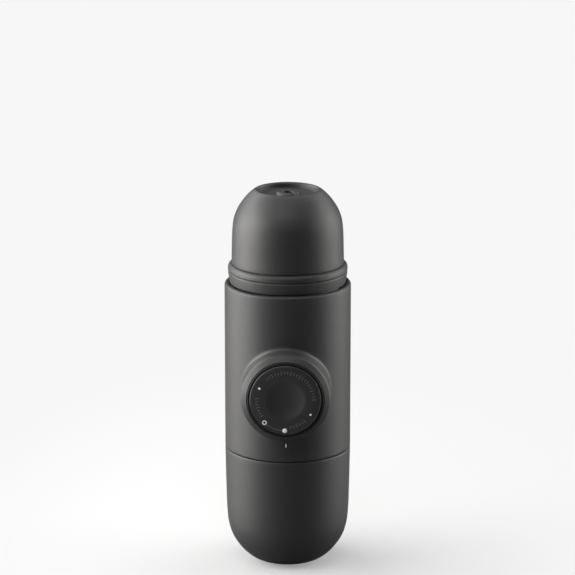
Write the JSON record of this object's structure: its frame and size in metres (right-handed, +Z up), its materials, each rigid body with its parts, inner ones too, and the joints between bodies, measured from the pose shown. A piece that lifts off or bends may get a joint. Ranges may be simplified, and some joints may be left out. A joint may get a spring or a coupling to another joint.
{
  "type": "handheld manual espresso maker",
  "caption": "Upright hand-pumped coffee maker: rounded water tank, tube body with a round side knob, and a domed screw-on outlet head with a scoop inside.",
  "frame": {"origin": "centre of the flat foot, on the axis of the body", "axes": "+Z up along the body towards the outlet, -Y towards the knob"},
  "size_m": [0.058, 0.0685, 0.1765],
  "materials": {
    "soft_grey": "soft-touch, dark grey",
    "collar_grey": "satin moulded, dark grey",
    "inner_black": "matte moulded",
    "pump_plastic": "natural engineering plastic",
    "knob_black": "satin moulded",
    "dial_black": "fine satin",
    "print_white": "pad print",
    "print_grey": "pad print",
    "seal_rubber": "silicone",
    "steel": "stainless",
    "coffee": "loose ground coffee, coarse and dull"
  },
  "bodies": {
    "tank": {"tank_shell": "soft_grey", "tank_liner": "collar_grey"},
    "tank_gasket": {"tank_seal": "seal_rubber"},
    "main_unit": {"body_shell": "soft_grey", "index_mark": "print_white", "pump_deck": "inner_black", "deck_screws": "steel", "suction_strainer": "steel", "air_valve": "seal_rubber", "pump_cylinder": "pump_plastic", "cylinder_end_cap": "pump_plastic", "end_cap_seal": "seal_rubber", "rod_gland": "pump_plastic", "gland_seal": "seal_rubber", "inlet_valve_cage": "pump_plastic", "outlet_valve_cage": "pump_plastic", "outlet_valve_spring": "steel", "knob_sleeve": "knob_black", "return_spring": "steel", "brew_chamber": "inner_black", "shower_plate": "steel", "chamber_gasket": "seal_rubber", "filter_basket": "steel"},
    "inlet_valve_ball": {"inlet_ball": "steel"},
    "outlet_valve_ball": {"outlet_ball": "steel"},
    "piston": {"piston_rod": "pump_plastic", "piston_head": "pump_plastic", "piston_seals": "seal_rubber", "knob_clip": "steel"},
    "knob": {"knob_cap": "knob_black", "knob_dial_ring": "dial_black", "knob_marks": "print_white", "knob_ticks": "print_grey"},
    "head_gasket": {"brew_gasket": "seal_rubber"},
    "outlet_head": {"head_dome": "soft_grey", "head_thread_ring": "soft_grey", "filter_holder": "inner_black", "head_filter_plate": "steel", "outlet_tube": "pump_plastic", "spout_insert": "soft_grey"},
    "scoop": {"scoop": "soft_grey", "coffee_grounds": "coffee"}
  },
  "joints": [
    {"name": "body_lift", "type": "slide", "parent": "tank", "child": "tank_gasket", "axis": [0, 0, 1], "range_m": [0, 0.039]},
    {"name": "body_turn", "type": "hinge", "parent": "tank_gasket", "child": "main_unit", "pos_m": [0, 0, 0.0685], "axis": [0, 0, -1], "range_deg": [-45, 0]},
    {"name": "head_lift", "type": "slide", "parent": "main_unit", "child": "head_gasket", "axis": [0, 0, 1], "range_m": [0, 0.041]},
    {"name": "head_turn", "type": "hinge", "parent": "head_gasket", "child": "outlet_head", "pos_m": [0, 0, 0.1269], "axis": [0, 0, -1], "range_deg": [-720, 0]},
    {"name": "scoop_tip_out", "type": "hinge", "parent": "main_unit", "child": "scoop", "pos_m": [0.01628, -0.04728, 0.136], "axis": [0.9455, 0.3256, 0], "range_deg": [0, 30]},
    {"name": "piston_stroke", "type": "slide", "parent": "main_unit", "child": "piston", "axis": [0, 1, 0], "range_m": [-0.016, 0], "deforming": ["return_spring"]},
    {"name": "knob_turn", "type": "hinge", "parent": "piston", "child": "knob", "pos_m": [0, -0.03, 0.088], "axis": [0, 1, 0], "range_deg": [-41, 0]},
    {"name": "inlet_ball_lift", "type": "slide", "parent": "main_unit", "child": "inlet_valve_ball", "axis": [0, 0, 1], "range_m": [0, 0.001]},
    {"name": "outlet_ball_lift", "type": "slide", "parent": "main_unit", "child": "outlet_valve_ball", "axis": [0, 0, 1], "range_m": [0, 0.001], "stiffness_N_per_m": 20, "springref_m": -0.001, "deforming": ["outlet_valve_spring"]}
  ],
  "couplings": [
    {"joint": "scoop_tip_out", "follows": "head_lift", "rad_per_m": 12.77}
  ]
}
